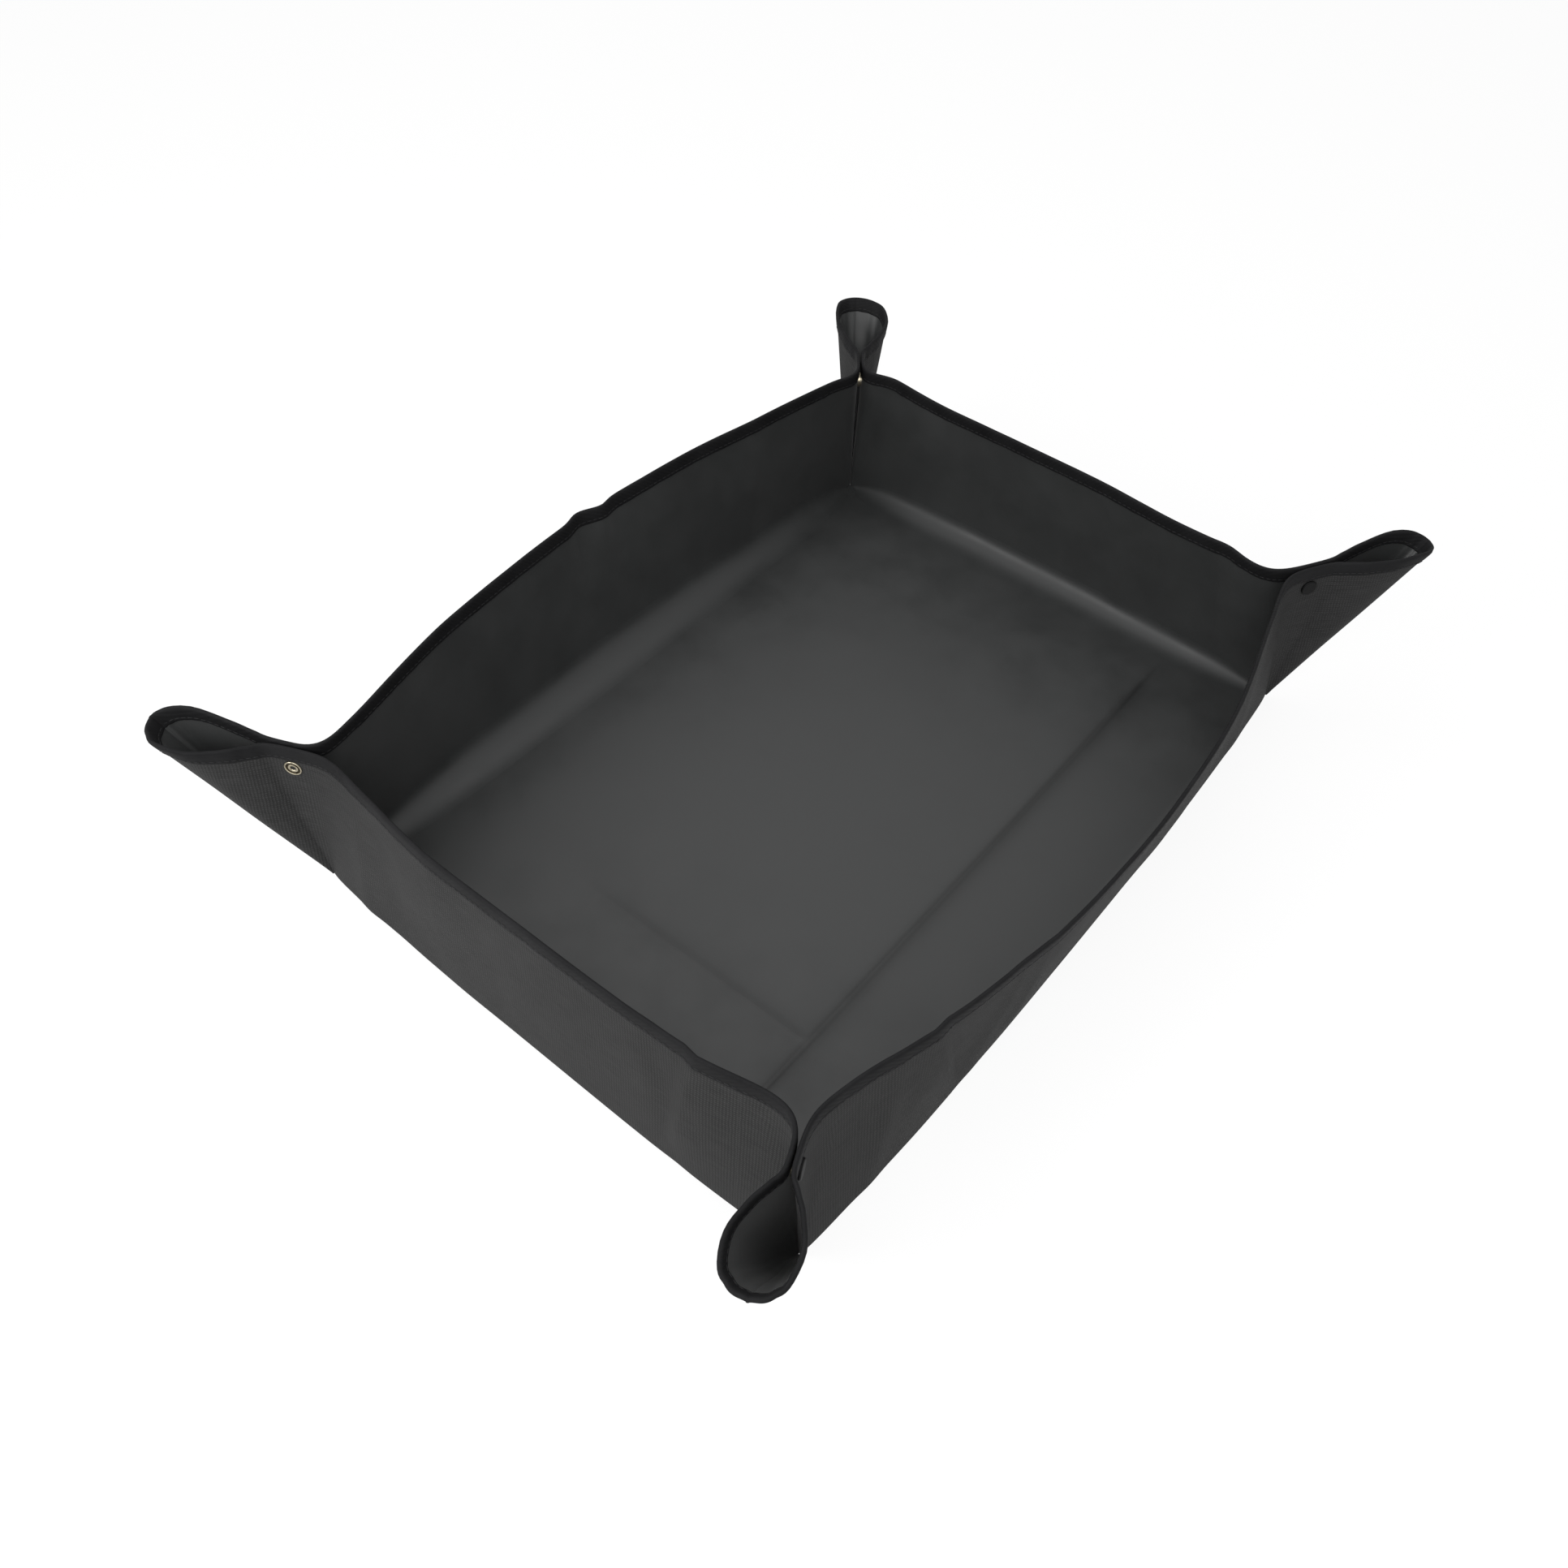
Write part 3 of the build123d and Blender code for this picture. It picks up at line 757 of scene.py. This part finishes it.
COATED, WOVEN, TAPE, THREAD = coated_inside(), woven_outside(), bias_tape(), sewing_thread()
CAP = painted_cap()
BRASS = antique_brass("antique_brass_worn", "#8a8371", "#b8b09c", 0.26, 0.44)
DARK_BRASS = antique_brass("antique_brass_dark", "#211d14", "#3d3626", 0.4, 0.6)

# Floor
grid, flat = floor_grid()
# the floor's creases carry painted shade for the coated face
floor = cloth_piece("floor_cloth", grid, flat, 1, crease_painted_shade(grid))
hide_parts("floor_panel")
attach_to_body(floor, "floor")

# Small pieces of cloth that fill the floor's corners, where walls and flap meet: nearly square rings as
# half width and height, and how far they reach past the fold lines
CORNER_RINGS = ((5.5, 0.05), (5.5, 0.45), (1.3, 2.6))
CORNER_PAST = 0.1
CORNER_SIDES = 24
turn = np.arange(CORNER_SIDES) * 2 * math.pi / CORNER_SIDES
ring = np.stack([np.cos(turn), np.sin(turn)], axis=-1)
ring = np.sign(ring) * np.sqrt(np.abs(ring))
for corner, (side_x, side_y, *_) in CORNERS.items():
    outer = np.array([side_x * (HALF_LENGTH + CORNER_PAST), side_y * (HALF_WIDTH + CORNER_PAST)])
    verts = [np.c_[ring * half + outer - np.array([side_x, side_y]) * half, np.full(CORNER_SIDES, z)]
             for half, z in CORNER_RINGS]
    faces = tube_faces(0, len(CORNER_RINGS), CORNER_SIDES)
    piece = mesh_piece(f"{corner}_corner_cloth", np.concatenate(verts), faces, [0] * len(faces), [COATED])
    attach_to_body(piece, "floor")


def panel_with_lip(name, grid, flat, inside, attach):
    """Cloth panel with tape and stitches along the last column of its grid."""
    panel = cloth_piece(f"{name}_cloth", grid, flat, inside)
    edge = grid[:, -1]
    inward = unit(grid[:, -1 - TAPE_COLUMNS] - edge)
    normal = grid_normals(grid)[:, -1] * inside
    trim = [tape_piece(f"{name}_tape", edge, inward, normal),
            stitch_piece(f"{name}_stitches", edge, inward, normal)]
    for piece, slot in zip([panel, *trim], ("coated_cloth", "edge_tape", "edge_tape")):
        attach(piece)
    return panel, trim[0]


# Walls with their bends, tape and stitches
for wall, (along, side, *_) in WALLS.items():
    half, width = (HALF_LENGTH, HALF_WIDTH) if along == "x" else (HALF_WIDTH, HALF_LENGTH)
    inside = 1 if (along == "x") == (side > 0) else -1
    grid, flat = bend_grid(wall)
    bend = cloth_piece(f"{wall}_bend_cloth", grid, flat, inside)
    foot = wall_ends(wall)[1] * width
    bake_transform(bend)
    grid, flat = wall_grid(wall)
    panel, tape = panel_with_lip(f"{wall}_wall", grid, flat, inside,
                                 lambda piece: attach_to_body(piece, f"{wall}_side"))
    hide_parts(f"{wall}_wall")
    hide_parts(f"{wall}_wall_binding")

# Corner flaps, each in two halves that the walls run into with rounded folds; the coated face is found at a
# point beside the fold, well up the cloth
FLAP_PROBE, STRIP_PROBE = (6, 30), (-2, 30)
for corner, (side_x, side_y, *_) in CORNERS.items():
    at, pinch, along, across, _ = corner_frame(corner)
    for wall in ("front" if side_y < 0 else "back", "left" if side_x < 0 else "right"):
        node = f"{corner}_flap_{wall}"
        inward = across * -flap_side(corner, wall)
        grid, flat = flap_grid(corner, wall)
        inside = 1 if grid_normals(grid)[FLAP_PROBE] @ inward > 0 else -1
        panel, tape = panel_with_lip(node, grid, flat, inside, lambda piece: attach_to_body(piece, node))
        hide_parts(node)
        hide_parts(f"{node}_binding")
        grid, flat = fold_grid(corner, wall)
        inside = 1 if grid_normals(grid)[STRIP_PROBE] @ inward > 0 else -1
        panel_with_lip(f"{corner}_fold_{wall}", grid, flat, inside,
                       lambda piece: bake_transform(piece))

# Press studs: the hidden pieces and the caps keep the CAD's shapes
for name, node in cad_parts.items():
    if "_stud" in name:
        node.data.materials.clear()
        node.data.materials.append(CAP if name.endswith("_cap") else BRASS)

# Studs: distance from the pinch line along the flap, distance below the lip, gap between cloth and eyelet
STUD_ALONG, STUD_DOWN, STUD_SEAT = 9.0, 15.5, 0.05
# Eyelets: rolled rings round the tube, as radius and height above the cloth, with a dark groove between
EYELET = [(1.4, -1.0), (1.5, 0.1), (1.75, 0.42), (2.15, 0.62), (2.55, 0.62), (2.95, 0.4),
          (3.2, 0.16), (3.6, 0.1), (4.0, 0.2), (4.3, 0.52), (4.6, 0.74), (4.9, 0.74),
          (5.12, 0.52), (5.2, 0.2), (5.2, 0.0), (1.95, 0.0), (1.95, -1.0)]
DARK_BANDS = (0, 5, 6, 7, 8)
AROUND = 48
turn = np.arange(AROUND)[:, None] * 2 * math.pi / AROUND
for corner, (side_x, *_) in CORNERS.items():
    wall = "left" if side_x < 0 else "right"
    at, pinch, along, across, _ = corner_frame(corner)
    out = across * flap_side(corner, wall)
    seat = NECK + HALF_CLOTH + STUD_SEAT
    centre = at + pinch * (WALL_HEIGHT - STUD_DOWN) + along * STUD_ALONG + out * seat
    ways = np.cos(turn) * pinch + np.sin(turn) * np.cross(out, pinch)
    verts = np.concatenate([centre + ways * r + out * h for r, h in EYELET])
    faces, slots = [], []
    for number in range(len(EYELET)):
        faces += band(number * AROUND, (number + 1) % len(EYELET) * AROUND, AROUND)
        slots += [1 if number in DARK_BANDS else 0] * AROUND
    eyelet = mesh_piece(f"{corner}_eyelet", verts, faces, slots, [BRASS, DARK_BRASS], sharp=60)
    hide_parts(f"{corner}_stud_eyelet")
    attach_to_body(eyelet, f"{corner}_flap_{wall}")


def stand(side, top, back, place):
    """Place and turn of a camera or a lamp that looks the other way from back."""
    return Matrix([(side[i], top[i], back[i], place[i]) for i in range(3)] + [(0, 0, 0, 1)])


# Camera at the photograph's place: focal length and frame in pixels, heading, height and roll in degrees,
# the point on the floor that it looks at, and the distance from there
FOCAL_PIXELS, FRAME_PIXELS = 1621, 1932
SENSOR = 36.0
CAMERA_HEADING, CAMERA_HEIGHT, CAMERA_ROLL = -51.53, 49.18, 1.48
CAMERA_AIM, CAMERA_DISTANCE = np.array([-23.1, 21.0, 0.0]), 869.0
scene = bpy.context.scene
lens = bpy.data.cameras.new("camera")
lens.sensor_width = SENSOR
lens.lens = SENSOR * FOCAL_PIXELS / FRAME_PIXELS
camera = bpy.data.objects.new("camera", lens)
scene.collection.objects.link(camera)
scene.camera = camera
heading, height, roll = (math.radians(turn) for turn in (CAMERA_HEADING, CAMERA_HEIGHT, CAMERA_ROLL))
level = math.cos(height)
back = np.array([math.sin(heading) * level, -math.cos(heading) * level, math.sin(height)])
right = np.array([math.cos(heading), math.sin(heading), 0])
up = np.cross(back, right)
right, up = right * math.cos(roll) + up * math.sin(roll), up * math.cos(roll) - right * math.sin(roll)
camera.matrix_world = stand(right, up, back, (CAMERA_AIM + back * CAMERA_DISTANCE) * MM)


def seen(tree):
    """1 for rays from the camera and for what gloss and glass show, 0 for light that falls on the tray."""
    path = add(tree, "ShaderNodeLightPath")
    gloss = add(tree, "ShaderNodeMath", {"operation": "MAXIMUM"},
                {0: (path, "Is Camera Ray"), 1: (path, "Is Glossy Ray")})
    return add(tree, "ShaderNodeMath", {"operation": "MAXIMUM"},
               {0: (gloss, "Value"), 1: (path, "Is Transmission Ray")})


# Share of the ground that shows plain white, and the world's light on the tray, where 1 is white
WHITE_SHARE = 0.88
WORLD_LIGHT = 0.65


def pale_ground():
    """Matt pale paper: it shows mostly white and a little of its lit surface, to keep a faint shadow."""
    made, tree, body = material("pale_ground", Roughness=0.9, Specular_IOR_Level=0.1,
                                Base_Color=linear("#f8f8f8"))
    white = add(tree, "ShaderNodeEmission", Strength=1.0)
    share = add(tree, "ShaderNodeMath", {"operation": "MULTIPLY"}, {0: (seen(tree), "Value")})
    share.inputs[1].default_value = WHITE_SHARE
    both = add(tree, "ShaderNodeMixShader",
               links={0: (share, "Value"), 1: (body, "BSDF"), 2: (white, "Emission")})
    join(tree, tree.nodes["Material Output"], {"Surface": (both, "Shader")})
    return made


# Ground, just below the tray, in metres
GROUND_HALF, GROUND_LEVEL = 6.0, -0.0002
square = [(-GROUND_HALF, -GROUND_HALF, 0), (GROUND_HALF, -GROUND_HALF, 0),
          (GROUND_HALF, GROUND_HALF, 0), (-GROUND_HALF, GROUND_HALF, 0)]
mesh = bpy.data.meshes.new("ground")
mesh.from_pydata(square, [], [(0, 1, 2, 3)])
mesh.materials.append(pale_ground())
ground = bpy.data.objects.new("ground", mesh)
ground.location = (0, 0, GROUND_LEVEL)
scene.collection.objects.link(ground)


# Rough way to a lamp's top, aside from every lamp's aim
LAMP_TOP = (0.01, 1, 0.02)


def soft_light(name, place, aim, size, power):
    """Round lamp that looks at a point; metres and watts."""
    lamp = bpy.data.lights.new(name, "AREA")
    lamp.shape, lamp.size, lamp.energy = "DISK", size, power
    light = bpy.data.objects.new(name, lamp)
    away = unit(np.array(place) - np.array(aim))
    side = unit(np.cross(LAMP_TOP, away))
    light.matrix_world = stand(side, np.cross(away, side), away, place)
    scene.collection.objects.link(light)


soft_light("overhead", (0.15, 0.5, 1.9), (0, 0, 0), 1.6, 11)
soft_light("from_the_left", (-1.1, 0.45, 0.7), (0, 0, 0.03), 0.6, 9)
soft_light("from_the_viewer", (-0.74, -0.55, 1.06), (0, 0, 0.03), 0.9, 9)

# World: white where it is seen, and a softer light on the object
world = bpy.data.worlds.new("studio")
world.use_nodes = True
sky = world.node_tree.nodes["Background"]
sky.inputs["Color"].default_value = linear("#ffffff")
level = add(world.node_tree, "ShaderNodeMapRange", To_Min=WORLD_LIGHT, To_Max=1.0,
            links={"Value": (seen(world.node_tree), "Value")})
join(world.node_tree, sky, {"Strength": (level, "Result")})
scene.world = world
scene.view_settings.view_transform = "Standard"
